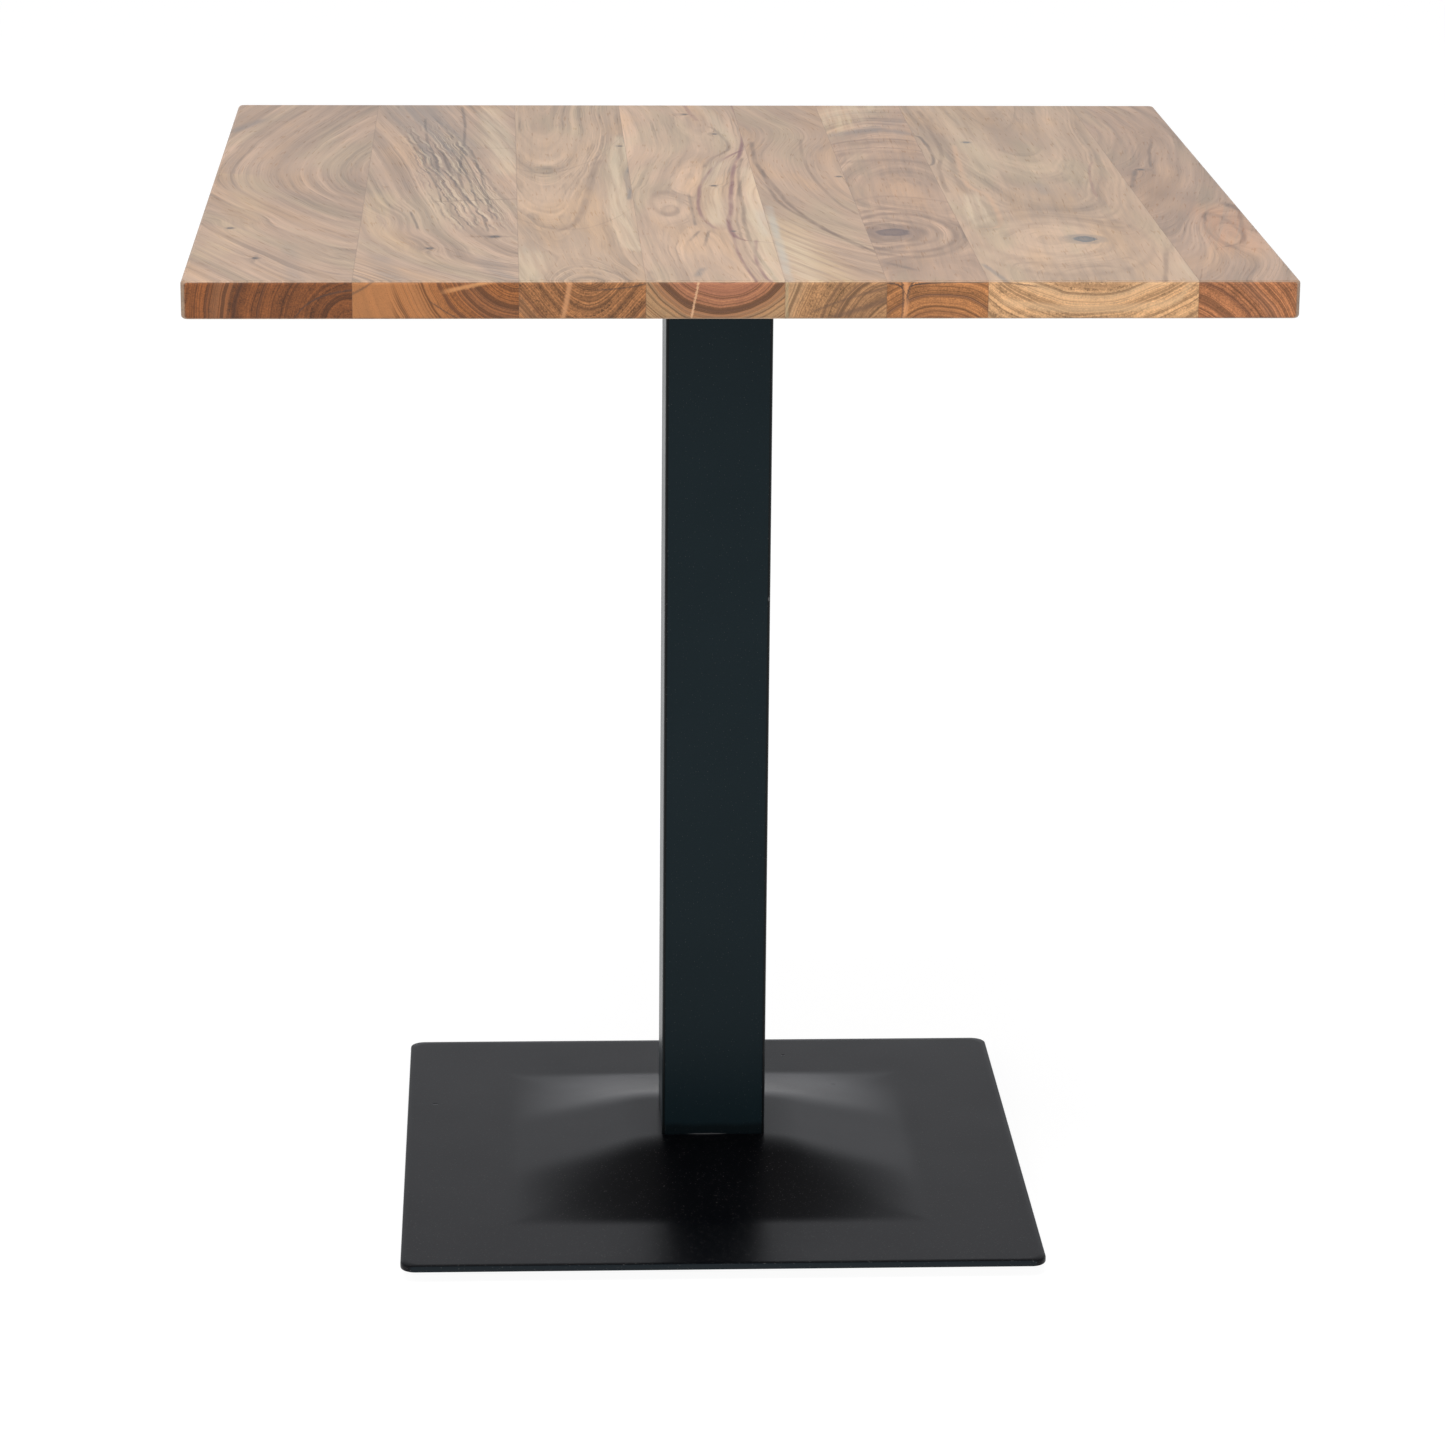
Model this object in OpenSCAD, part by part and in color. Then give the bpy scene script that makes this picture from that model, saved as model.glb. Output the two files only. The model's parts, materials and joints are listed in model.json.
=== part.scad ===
// Square bistro table: a solid acacia top glued up from eight staves, a square steel column and
// a pressed steel base plate with a raised centre, standing on four screw-in levelling feet.
// Z is up and the floor is z = 0. X runs to the right and the front of the table faces -Y.

/* [Table] */
// Side of the square top
top_w = 750; // [600:10:900]
// Height of the top surface above the floor, feet screwed in
table_h = 778; // [650:1:900]

/* [Wooden top] */
// Thickness of the staves
top_t = 26; // [20:1:40]
// Radius of the rounded long edges
edge_r = 2.5; // [1:0.5:6]
// Radius of the vertical corners
corner_r = 5; // [3:0.5:15]

/* [Column] */
// Outer width of the square tube
tube_w = 80; // [60:1:100]
// Wall of the tube
tube_wall = 3; // [2:0.5:5]
// Outer corner radius of the tube
tube_r = 4; // [3:0.5:8]
// Thickness of the tapped plate welded inside the foot of the tube
foot_plate_t = 8; // [6:1:12]

/* [Base plate] */
// Side of the square base plate
base_w = 480; // [400:10:600]
// Sheet thickness
base_t = 5; // [4:0.5:8]
// Corner radius of the base plate
base_r = 11; // [5:1:30]
// Height that the pressed centre rises above the rim
rise = 24.5; // [24:0.5:35]
// Side of the square where the pressed centre starts to rise
crease_w = 315; // [300:5:330]
// Diameter of the round seat under the column
seat_d = 120; // [116:2:150]

/* [Mounting plate] */
// Side of the plate welded to the head of the column
mount_w = 400; // [370:10:500]
// Thickness of the plate
mount_t = 5; // [4:0.5:8]
// Distance of the outer screws from the table's centre lines
screw_at = 180; // [175:5:180]
// Extra length of the screw slots, which lets the wood swell and shrink
slot_play = 6; // [3:1:10]

/* [Levelling feet] */
// Distance of the feet from the table's centre lines
foot_at = 190; // [180:5:200]
// Height of the base plate's underside above the floor
foot_h = 8.5; // [8:0.5:10]
// Diameter of the nylon pad
pad_d = 30; // [26:1:34]
// How far a foot screws out
foot_travel = 5; // [2:0.5:5]

/* [Hidden] */
STAVES = ["top_stave_1", "top_stave_2", "top_stave_3", "top_stave_4",
          "top_stave_5", "top_stave_6", "top_stave_7", "top_stave_8"];
STUDS = ["foot_stud_1", "foot_stud_2", "foot_stud_3", "foot_stud_4"];
PADS = ["foot_pad_1", "foot_pad_2", "foot_pad_3", "foot_pad_4"];

$fn = 64;

// Joints between the staves, as shares of the top's width from its left edge
stave_joints = [0, 0.152, 0.300, 0.413, 0.537, 0.628, 0.719, 0.908, 1];

// Heights
top_z = table_h - top_t;
mount_z = top_z - mount_t;
rim_z = foot_h + base_t;
seat_z = rim_z + rise;
seat_under = seat_z - base_t;

// Corner radius of the square where the pressed centre starts to rise
crease_r = 70;

// Screw threads: diameter and pitch
m6_d = 6;
m6_pitch = 1;
m8_d = 8;
m8_pitch = 1.25;
thread_clear = 0.05;
hole_clear = 0.5;

// Screws that hold the wooden top, and their brass inserts
screw_len = 16;
screw_head_d = 11;
screw_head_h = 3.5;
screw_key = 4;
screw_key_deep = 2.2;
big_washer_d = 18;
washer_t = 1.6;
insert_d = 10;
insert_len = 13;
insert_pitch = 2;
insert_hole_deep = 15;
screw_places = [for (x = [-1, 0, 1], y = [-1, 0, 1]) if (x != 0 || y != 0) [x, y] * screw_at];

// Bolts that hold the column to the base plate
bolt_len = 20;
bolt_head_across = 13;
bolt_head_h = 5.3;
bolt_at = 22;
m8_washer_d = 16;
lock_washer_d = 14;
lock_washer_t = 2;
lock_washer_gap = 1.5;
bolt_places = [for (x = [-1, 1], y = [-1, 1]) [x, y] * bolt_at];

// Levelling feet
boss_d = 14;
boss_let_in = 3;
boss_under = 3.5;
pad_floor = 3.2;
pad_h = 7;
pad_recess_d = 17;
pad_sole_r = 1.5;
stud_under = 1.2;
stud_flange_d = 12;
stud_flange_t = 1;
stud_engaged = 2.7;
stud_top = boss_under + foot_travel + stud_engaged;
foot_places = [[-1, -1], [1, -1], [1, 1], [-1, 1]] * foot_at;

// A square outline with rounded corners, centred
module rounded_square(w, r) {
    square([w, w - 2 * r], center = true);
    square([w - 2 * r, w], center = true);
    for (x = [-1, 1], y = [-1, 1])
        translate([x, y] * (w / 2 - r)) circle(r);
}

// The rim of a slab from x = 0 outwards to x = r: its outer edges are rounded by e
module rim_profile(r, t, e) {
    square([r - e, t]);
    translate([0, e]) square([r, t - 2 * e]);
    for (z = [e, t - e]) translate([r - e, z]) circle(e);
}

// A square slab standing on z = 0, with corner radius r and rounded edges e
module slab(w, t, r, e) {
    inner = w / 2 - r;
    translate([-inner, -inner, 0]) cube([2 * inner, 2 * inner, t]);
    for (a = [0:90:270]) rotate(a) {
        translate([inner, inner, 0]) rotate([90, 0, 0])
            linear_extrude(2 * inner) rim_profile(r, t, e);
        translate([inner, inner, 0]) rotate_extrude() rim_profile(r, t, e);
    }
}

// A round bar from z = 0 to z = len, ridged like a screw thread of the given pitch
module threaded_bar(d, pitch, len) {
    crest = d / 2 - thread_clear;
    root = crest - 0.5 * pitch;
    turns = floor(len / pitch);
    points = concat([[0, 0]],
                    [for (i = [0:turns - 1], step = [0, 1])
                        step == 0 ? [root, i * pitch] : [crest, (i + 0.5) * pitch]],
                    [[root, turns * pitch], [root, len], [0, len]]);
    rotate_extrude() polygon(points);
}

module ring(outer_d, inner_d, t) {
    difference() {
        cylinder(d = outer_d, h = t);
        translate([0, 0, -1]) cylinder(d = inner_d, h = t + 2);
    }
}

// --- Wooden top

module top_stave(i) {
    x0 = (stave_joints[i] - 0.5) * top_w;
    x1 = (stave_joints[i + 1] - 0.5) * top_w;
    color(i % 2 == 0 ? "peru" : "burlywood") difference() {
        intersection() {
            translate([0, 0, top_z]) slab(top_w, top_t, corner_r, edge_r);
            translate([x0, -top_w, 0]) cube([x1 - x0, 2 * top_w, table_h + 1]);
        }
        for (p = screw_places) if (p[0] > x0 && p[0] < x1)
            translate([p[0], p[1], top_z - 1])
                cylinder(d = insert_d + 2 * thread_clear, h = insert_hole_deep + 1);
    }
}

// --- Fixing of the top

module mounting_plate() {
    slot_d = m6_d + 2 * hole_clear;
    color("dimgray") translate([0, 0, mount_z]) linear_extrude(mount_t) difference() {
        rounded_square(mount_w, 15);
        for (p = screw_places) translate(p) {
            square([slot_play, slot_d], center = true);
            for (x = [-1, 1]) translate([x * slot_play / 2, 0]) circle(d = slot_d);
        }
    }
}

module insert_nuts() {
    color("goldenrod") for (p = screw_places) translate([p[0], p[1], top_z]) difference() {
        threaded_bar(insert_d, insert_pitch, insert_len);
        translate([0, 0, -1]) cylinder(d = m6_d, h = insert_len + 2);
    }
}

// A domed head below z = 0 with a hexagonal socket
module button_head(d, h, key, key_deep) {
    dome_r = (h * h + d * d / 4) / (2 * h);
    difference() {
        rotate_extrude() intersection() {
            translate([0, -h]) square([d / 2, h]);
            translate([0, dome_r - h]) circle(dome_r);
        }
        translate([0, 0, -h - 1]) cylinder(d = key / cos(30), h = key_deep + 1, $fn = 6);
    }
}

module top_screws() {
    head_z = mount_z - washer_t;
    color("silver") for (p = screw_places) translate([p[0], p[1], head_z]) {
        threaded_bar(m6_d, m6_pitch, screw_len);
        button_head(screw_head_d, screw_head_h, screw_key, screw_key_deep);
    }
}

module top_washers() {
    color("silver") for (p = screw_places)
        translate([p[0], p[1], mount_z - washer_t])
            ring(big_washer_d, m6_d + 0.4, washer_t);
}

// --- Column

module column_tube() {
    color("dimgray") translate([0, 0, seat_z]) linear_extrude(mount_z - seat_z) difference() {
        rounded_square(tube_w, tube_r);
        rounded_square(tube_w - 2 * tube_wall, tube_r - tube_wall);
    }
}

module column_foot_plate() {
    color("gray") translate([0, 0, seat_z]) linear_extrude(foot_plate_t) difference() {
        rounded_square(tube_w - 2 * tube_wall, tube_r - tube_wall);
        for (p = bolt_places) translate(p) circle(d = m8_d);
    }
}

// --- Base

// The pressed centre: a low pyramid from the square crease up to the round seat
module pressed_centre(drop) {
    hull() {
        translate([0, 0, rim_z - drop - 1]) linear_extrude(1)
            rounded_square(crease_w, crease_r);
        translate([0, 0, seat_z - drop - 1]) cylinder(d = seat_d, h = 1);
    }
}

module base_plate() {
    color("dimgray") difference() {
        union() {
            translate([0, 0, foot_h]) slab(base_w, base_t, base_r, 1);
            pressed_centre(0, $fn = 48);
        }
        pressed_centre(base_t, $fn = 48);
        for (p = bolt_places) translate([p[0], p[1], rim_z])
            cylinder(d = m8_d + 2 * hole_clear, h = rise + 1);
        for (p = foot_places) translate([p[0], p[1], foot_h - 1])
            cylinder(d = boss_d + 2 * thread_clear, h = boss_let_in + 1);
    }
}

module base_bolts() {
    head_z = seat_under - washer_t - lock_washer_t;
    color("silver") for (p = bolt_places) translate([p[0], p[1], head_z]) {
        threaded_bar(m8_d, m8_pitch, bolt_len);
        translate([0, 0, -bolt_head_h])
            cylinder(d = bolt_head_across / cos(30), h = bolt_head_h, $fn = 6);
    }
}

module base_lock_washers() {
    color("silver") for (p = bolt_places)
        translate([p[0], p[1], seat_under - washer_t - lock_washer_t]) difference() {
            ring(lock_washer_d, m8_d + 0.4, lock_washer_t);
            translate([0, -lock_washer_gap / 2, -1])
                cube([lock_washer_d, lock_washer_gap, lock_washer_t + 2]);
        }
}

module base_washers() {
    color("silver") for (p = bolt_places)
        translate([p[0], p[1], seat_under - washer_t])
            ring(m8_washer_d, m8_d + 0.4, washer_t);
}

// --- Levelling feet

module foot_bosses() {
    color("gray") for (p = foot_places) translate([p[0], p[1], boss_under])
        ring(boss_d, m8_d, foot_h + boss_let_in - boss_under);
}

module foot_stud(i) {
    color("silver") translate([foot_places[i][0], foot_places[i][1], stud_under]) {
        threaded_bar(m8_d, m8_pitch, stud_top - stud_under);
        cylinder(d = stud_flange_d, h = stud_flange_t);
    }
}

module foot_pad(i) {
    color("black") translate([foot_places[i][0], foot_places[i][1], 0]) difference() {
        union() {
            translate([0, 0, pad_sole_r]) cylinder(d = pad_d, h = pad_h - pad_sole_r);
            cylinder(d = pad_d - 2 * pad_sole_r, h = pad_sole_r + 1);
            translate([0, 0, pad_sole_r]) rotate_extrude()
                translate([pad_d / 2 - pad_sole_r, 0]) circle(pad_sole_r);
        }
        translate([0, 0, pad_floor]) cylinder(d = pad_recess_d, h = pad_h);
        translate([0, 0, stud_under - thread_clear]) {
            cylinder(d = m8_d + 2 * thread_clear, h = pad_h);
            cylinder(d = stud_flange_d + 2 * thread_clear, h = stud_flange_t + 2 * thread_clear);
        }
    }
}

for (i = [0:len(STAVES) - 1]) top_stave(i);
mounting_plate();
insert_nuts();
top_screws();
top_washers();
column_tube();
column_foot_plate();
base_plate();
base_bolts();
base_lock_washers();
base_washers();
foot_bosses();
for (i = [0:len(STUDS) - 1]) foot_stud(i);
for (i = [0:len(PADS) - 1]) foot_pad(i);
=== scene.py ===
"""The looks of the bistro table: its camera and studio, the acacia of each stave, the powder coat,
and finer meshes for the pressed base plate, the threads and the welds."""

import json
import math
from functools import partialmethod

import bmesh
import bpy
from mathutils import Matrix, Vector


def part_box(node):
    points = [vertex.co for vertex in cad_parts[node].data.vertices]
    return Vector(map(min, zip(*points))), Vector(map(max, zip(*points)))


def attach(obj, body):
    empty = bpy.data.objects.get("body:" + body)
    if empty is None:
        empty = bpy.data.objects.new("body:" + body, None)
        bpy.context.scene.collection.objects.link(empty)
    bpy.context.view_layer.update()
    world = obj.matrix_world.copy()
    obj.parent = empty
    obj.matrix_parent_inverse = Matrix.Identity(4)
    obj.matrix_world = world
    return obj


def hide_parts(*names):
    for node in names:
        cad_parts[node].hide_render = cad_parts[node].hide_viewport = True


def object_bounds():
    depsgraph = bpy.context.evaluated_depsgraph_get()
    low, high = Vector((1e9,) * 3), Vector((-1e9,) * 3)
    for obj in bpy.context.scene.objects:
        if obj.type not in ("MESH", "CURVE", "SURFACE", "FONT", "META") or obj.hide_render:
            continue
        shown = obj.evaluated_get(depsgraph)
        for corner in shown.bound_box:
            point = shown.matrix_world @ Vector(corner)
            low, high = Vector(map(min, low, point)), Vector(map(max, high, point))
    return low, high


MM = 0.001
TAU = math.tau

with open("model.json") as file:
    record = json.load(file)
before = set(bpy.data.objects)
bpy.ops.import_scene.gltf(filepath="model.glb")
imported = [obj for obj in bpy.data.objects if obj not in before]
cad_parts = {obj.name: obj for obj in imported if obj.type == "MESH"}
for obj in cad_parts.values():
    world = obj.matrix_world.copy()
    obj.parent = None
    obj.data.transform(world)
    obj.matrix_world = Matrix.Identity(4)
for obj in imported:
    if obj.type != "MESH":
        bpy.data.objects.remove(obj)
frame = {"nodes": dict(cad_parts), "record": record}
cad_low, cad_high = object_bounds()
TOP_Z = cad_high.z
HALF_TOP = cad_high.y / MM


# --- Camera and studio

# A long lens, 16 degrees down, a little left of the centre line. Its place is in metres from the
# middle of the top surface.
LENS, SENSOR = 117.9, 36
PITCH, ROLL, YAW = math.radians(16.36), math.radians(0.5), math.radians(2.76)
CAMERA_AT = (-0.1616, -3.4856, 0.6071)

# How bright the surround is at each sine of the height above the horizon
SURROUND = [(0.0, 1.0), (0.3, 0.92), (0.46, 0.5), (0.62, 0.168), (0.74, 0.205), (0.88, 0.25), (1.0, 0.3)]

FLOOR_HALF_SIZE = 14
# The feet stand on z = 0, and the floor lies this much lower, so that the two don't share a plane
FLOOR_DROP = 0.0001


def put_in_scene(name, data):
    thing = bpy.data.objects.new(name, data)
    bpy.context.scene.collection.objects.link(thing)
    return thing


def make_camera():
    data = bpy.data.cameras.new("camera")
    data.sensor_width = SENSOR
    data.lens = LENS
    camera = put_in_scene("camera", data)
    turned_right = Matrix.Rotation(-YAW, 4, "Z")
    looking_down = Matrix.Rotation(math.pi / 2 - PITCH, 4, "X")
    place = Matrix.Translation(Vector(CAMERA_AT) + Vector((0, 0, TOP_Z)))
    camera.matrix_world = place @ turned_right @ looking_down @ Matrix.Rotation(ROLL, 4, "Z")
    bpy.context.scene.camera = camera


def area_light(name, at, size, watts, tint=(1, 1, 1)):
    """A soft box that shines at the middle of the table."""
    data = bpy.data.lights.new(name, "AREA")
    data.shape = "RECTANGLE"
    data.size, data.size_y = size
    data.energy = watts
    data.color = tint
    light = put_in_scene(name, data)
    light.location = at
    light.rotation_euler = (Vector((0, 0, 0.5)) - Vector(at)).to_track_quat("-Z", "Y").to_euler()


def fill_ramp(ramp, stops):
    """Puts (place, colour) stops into a colour ramp node."""
    elements = ramp.color_ramp.elements
    while len(elements) < len(stops):
        elements.new(0.5)
    for element, (place, colour) in zip(elements, stops):
        element.position = place
        element.color = (*colour, 1)


def make_surround():
    """White at the horizon, darker overhead, and slightly blue."""
    world = bpy.data.worlds.new("surround")
    bpy.context.scene.world = world
    world.use_nodes = True
    nodes, links = world.node_tree.nodes, world.node_tree.links
    coords = nodes.new("ShaderNodeTexCoord")
    split = nodes.new("ShaderNodeSeparateXYZ")
    ramp = nodes.new("ShaderNodeValToRGB")
    links.new(coords.outputs["Generated"], split.inputs[0])
    links.new(split.outputs["Z"], ramp.inputs[0])
    links.new(ramp.outputs["Color"], nodes["Background"].inputs["Color"])
    fill_ramp(ramp, [(place, (grey * 0.985, grey, grey * 1.05)) for place, grey in SURROUND])


def make_floor():
    """White paper that glows a little, so that it stays white."""
    mesh = bpy.data.meshes.new("floor")
    shape = bmesh.new()
    bmesh.ops.create_grid(shape, x_segments=8, y_segments=8, size=FLOOR_HALF_SIZE)
    shape.to_mesh(mesh)
    shape.free()
    floor = put_in_scene("floor", mesh)
    floor.location.z = -FLOOR_DROP
    paper = bpy.data.materials.new("floor_paper")
    paper.use_nodes = True
    shader = paper.node_tree.nodes["Principled BSDF"]
    shader.inputs["Base Color"].default_value = (0.15, 0.15, 0.15, 1)
    shader.inputs["Roughness"].default_value = 1.0
    shader.inputs["Specular IOR Level"].default_value = 0.0
    shader.inputs["Emission Color"].default_value = (1, 1, 1, 1)
    shader.inputs["Emission Strength"].default_value = 0.94
    mesh.materials.append(paper)


def make_studio():
    make_surround()
    area_light("overhead_box", (-0.3, -0.9, 3.4), (2.2, 1.6), 105)
    area_light("side_box", (-2.6, -1.2, 2.2), (1.6, 1.6), 14, tint=(1.0, 0.86, 0.72))
    make_floor()
    settings = bpy.context.scene.view_settings
    settings.view_transform = "Standard"
    settings.look = "None"


# --- Shader arithmetic


class Field:
    """A number that varies over a surface, so that node formulas read as arithmetic."""

    def __init__(self, tree, socket):
        self.tree, self.socket = tree, socket

    def math(self, operation, *others):
        node = self.tree.nodes.new("ShaderNodeMath")
        node.operation = operation
        for slot, value in zip(node.inputs, (self, *others)):
            connect(self.tree, slot, value)
        return Field(self.tree, node.outputs[0])

    __add__ = partialmethod(math, "ADD")
    __sub__ = partialmethod(math, "SUBTRACT")
    __mul__ = partialmethod(math, "MULTIPLY")
    __truediv__ = partialmethod(math, "DIVIDE")
    __neg__ = partialmethod(math, "MULTIPLY", -1.0)
    at_most = partialmethod(math, "MINIMUM")
    at_least = partialmethod(math, "MAXIMUM")
    size = partialmethod(math, "ABSOLUTE")
    root = partialmethod(math, "SQRT")
    exp = partialmethod(math, "EXPONENT")

    def ease(self, low, high, out_low=0.0, out_high=1.0):
        """Goes smoothly from out_low to out_high as this goes from low to high."""
        node = self.tree.nodes.new("ShaderNodeMapRange")
        node.interpolation_type = "SMOOTHSTEP"
        self.tree.links.new(self.socket, node.inputs["Value"])
        for name, value in (("From Min", low), ("From Max", high), ("To Min", out_low), ("To Max", out_high)):
            node.inputs[name].default_value = value
        return Field(self.tree, node.outputs["Result"])

    def fade(self, low, high):
        """Goes smoothly from 1 to 0 as this goes from low to high."""
        return self.ease(low, high, 1.0, 0.0)


def connect(tree, slot, value):
    """Feeds a node's input from a field, or sets it to a plain number."""
    if isinstance(value, Field):
        tree.links.new(value.socket, slot)
    else:
        slot.default_value = value


class Shading:
    """One material under construction: its coordinates in metres, noises and colour mixes."""

    def __init__(self, name):
        self.material = bpy.data.materials.new(name)
        self.material.use_nodes = True
        self.tree = self.material.node_tree
        self.shader = self.tree.nodes["Principled BSDF"]
        coords = self.node("TexCoord")
        split = self.node("SeparateXYZ")
        self.link(coords.outputs["Object"], split.inputs[0])
        self.x, self.y, self.z = (Field(self.tree, split.outputs[n]) for n in range(3))

    def node(self, kind):
        return self.tree.nodes.new(f"ShaderNode{kind}")

    def link(self, output, slot):
        self.tree.links.new(output, slot)

    def constant(self, value):
        node = self.node("Value")
        node.outputs[0].default_value = value
        return Field(self.tree, node.outputs[0])

    def noise_node(self, dimensions, slot, place, detail, roughness):
        node = self.node("TexNoise")
        node.noise_dimensions = dimensions
        node.inputs["Scale"].default_value = 1.0
        node.inputs["Detail"].default_value = detail
        node.inputs["Roughness"].default_value = roughness
        self.link(place, node.inputs[slot])
        return Field(self.tree, node.outputs["Fac"])

    def noise(self, x, y, z, detail=2.0, roughness=0.5, seed=0.0):
        """Noise from 0 to 1 at a place given in noise cells."""
        place = self.node("CombineXYZ")
        for slot, value in zip(place.inputs, (x + seed, y + seed * 0.37, z)):
            connect(self.tree, slot, value)
        return self.noise_node("3D", "Vector", place.outputs[0], detail, roughness)

    def even_noise(self, per_metre, **kind):
        """Noise whose cells are the same size in every direction."""
        return self.noise(self.x * per_metre, self.y * per_metre, self.z * per_metre, **kind)

    def stripes(self, w, detail=2.0, roughness=0.5):
        """Noise along one direction only: bands of uneven width."""
        return self.noise_node("1D", "W", w.socket, detail, roughness)

    def along(self, place, stations):
        """A value that runs smoothly through (place, value) stations and stays level past the ends."""
        places = [p for p, _ in stations]
        values = [v for _, v in stations]
        bottom, span = min(values), max(values) - min(values)
        if span == 0:
            return self.constant(bottom)
        node = self.node("FloatCurve")
        curve = node.mapping.curves[0]
        while len(curve.points) < len(stations):
            curve.points.new(0.5, 0.5)
        for point, (p, v) in zip(curve.points, stations):
            point.location = ((p - places[0]) / (places[-1] - places[0]), (v - bottom) / span)
            point.handle_type = "AUTO"
        node.mapping.update()
        share = (place - places[0]) / (places[-1] - places[0])
        self.link(share.socket, node.inputs["Value"])
        return Field(self.tree, node.outputs["Value"]) * span + bottom

    def ramp(self, value, stops):
        node = self.node("ValToRGB")
        fill_ramp(node, stops)
        self.link(value.socket, node.inputs[0])
        return node.outputs["Color"]

    def mix(self, share, below, above, blend="MIX"):
        """Lays one colour over another, as strongly as share says."""
        node = self.node("Mix")
        node.data_type = "RGBA"
        node.blend_type = blend
        self.link(share.socket, node.inputs["Factor"])
        for name, colour in (("A", below), ("B", above)):
            slot = [s for s in node.inputs if s.name == name and s.type == "RGBA"][0]
            if isinstance(colour, tuple):
                slot.default_value = (*colour, 1)
            else:
                self.link(colour, slot)
        return [s for s in node.outputs if s.type == "RGBA"][0]

    def layers(self, colour, *layers):
        """Lays (share, colour) pairs over a colour, one after another."""
        for share, above in layers:
            colour = self.mix(share, colour, above)
        return colour

    def finish(self, colour, roughness, height, relief):
        """Connects the colour, the roughness and the height, whose unit is relief in metres."""
        self.link(colour, self.shader.inputs["Base Color"])
        self.link(roughness.socket, self.shader.inputs["Roughness"])
        bump = self.node("Bump")
        bump.inputs["Strength"].default_value = 1.0
        bump.inputs["Distance"].default_value = relief
        self.link(height.socket, bump.inputs["Height"])
        self.link(bump.outputs["Normal"], self.shader.inputs["Normal"])
        return self.material


# --- Acacia

# How each stave was sawn from its trunk, in mm from the table's centre and above the top surface.
# pith: where the growth rings' centre runs, as (y, x, z) stations from the front edge to the back.
# lean: how far the rings grow or shrink on the way, as (y, change) stations.
# ring: the mean ring width. face, end: the mean colour of the long grain and of the end grain.
# figure: how strongly the rings show.
# knots: (x, y, half width, half length, bulge, size of the dark core). heart: the core's colour.
# calm_to: the end grain has no fine lines left of this x.
WOOD = {1: dict(
    pith=[(-375, -261, -30), (0, -250, -34), (375, -240, -40)],
    lean=[(-375, 165), (-250, 108), (-150, 62), (-60, 24), (0, 6), (60, 0), (150, 5), (250, 19),
          (375, 40)],
    ring=6.5, face=(0.3, 0.197, 0.13), end=(0.175, 0.055, 0.013), figure=0.9, seed=1.3,
    knots=[(-350, -140, 22, 30, 14, 0), (-352, -180, 8, 10, 3, 3), (-329, -293, 6, 10, 4, 3)],
), 2: dict(
    pith=[(-375, -147, 20), (0, -120, 24), (375, -130, 30)],
    lean=[(-375, 172), (-310, 120), (-250, 88), (-200, 72), (-100, 58), (0, 45), (150, 27),
          (250, 14), (375, 0)],
    ring=4.6, face=(0.315, 0.209, 0.139), end=(0.276, 0.095, 0.024), figure=0.9, seed=4.1, calm_to=-238,
    knots=[(-211, -257, 7, 9, 5, 3), (-238, -150, 22, 55, 16, 0), (-166, -213, 10, 7, 5, 4),
           (-190, -110, 16, 36, -11, 0), (-222, -236, 20, 30, 13, 0), (-186, -306, 24, 34, -14, 0)],
), 3: dict(
    pith=[(-375, -104, 62), (-230, -118, 48), (0, -130, 34), (375, -127, 6)],
    ring=6, face=(0.337, 0.225, 0.143), end=(0.351, 0.146, 0.05), figure=1.05, seed=7.7,
    knots=[(-69, 171, 6, 8, 4, 2.5), (-103, -392, 33, 60, -34, 0), (-127, 70, 8, 10, 3, 0)],
), 4: dict(
    pith=[(-375, -16, 25), (-190, -26, 27), (-60, -30, 30), (0, -24, 30), (100, -14, 30), (190, -6, 30),
          (375, -20, 30)],
    ring=8, face=(0.38, 0.252, 0.164), end=(0.322, 0.14, 0.054), figure=0.75, seed=11.2,
    knots=[(-13, 327, 6, 8, 4, 2.6), (7, 229, 6, 8, 4, 2.6), (-4, -7, 6, 8, 4, 2.8),
           (-36, -110, 15, 66, 13, 0), (2, -192, 14, 8, 5, 2)],
), 5: dict(
    pith=[(-375, 105, -40), (0, 120, -42), (375, 130, -46)],
    lean=[(-375, 130), (-300, 95), (-240, 68), (-180, 44), (-120, 24), (-60, 8), (0, -2), (120, -10),
          (240, 0), (300, -12), (375, -30)],
    ring=7, face=(0.324, 0.211, 0.136), end=(0.363, 0.186, 0.079), figure=0.7, seed=15.9,
    knots=[(92, 33, 6, 8, 4, 2.6)],
), 6: dict(
    pith=[(-375, 132, -66), (-200, 136, -64), (-20, 138, -66), (120, 142, -82), (375, 146, -132)],
    ring=7.5, face=(0.324, 0.206, 0.133), end=(0.382, 0.157, 0.052), figure=1, seed=19.4,
    knots=[(114, -197, 40, 82, 52, 15), (112, -325, 14, 14, 7, 0)], heart=(0.082, 0.05, 0.044),
), 7: dict(
    pith=[(-375, 234, 84), (-120, 238, 70), (90, 242, 52), (375, 238, 26)],
    ring=9, face=(0.347, 0.233, 0.15), end=(0.514, 0.291, 0.139), figure=0.68, seed=23.8,
    knots=[(203, 190, 9, 10, 5, 3.4), (247, -222, 14, 14, 7, 10.5), (226, -222, 42, 88, 48, 0)],
    heart=(0.085, 0.088, 0.088),
), 8: dict(
    pith=[(-375, 296, -50), (375, 300, -58)],
    lean=[(-375, 84), (-200, 52), (-100, 34), (0, 18), (80, 8), (200, -4), (300, -2), (375, 6)],
    ring=6, face=(0.294, 0.19, 0.126), end=(0.364, 0.141, 0.054), figure=0.9, seed=28.3,
    knots=[(324, 65, 7, 8, 5, 3), (351, -190, 17, 70, 34, 0), (348, 222, 10, 12, 6, 0)],
)}

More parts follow.
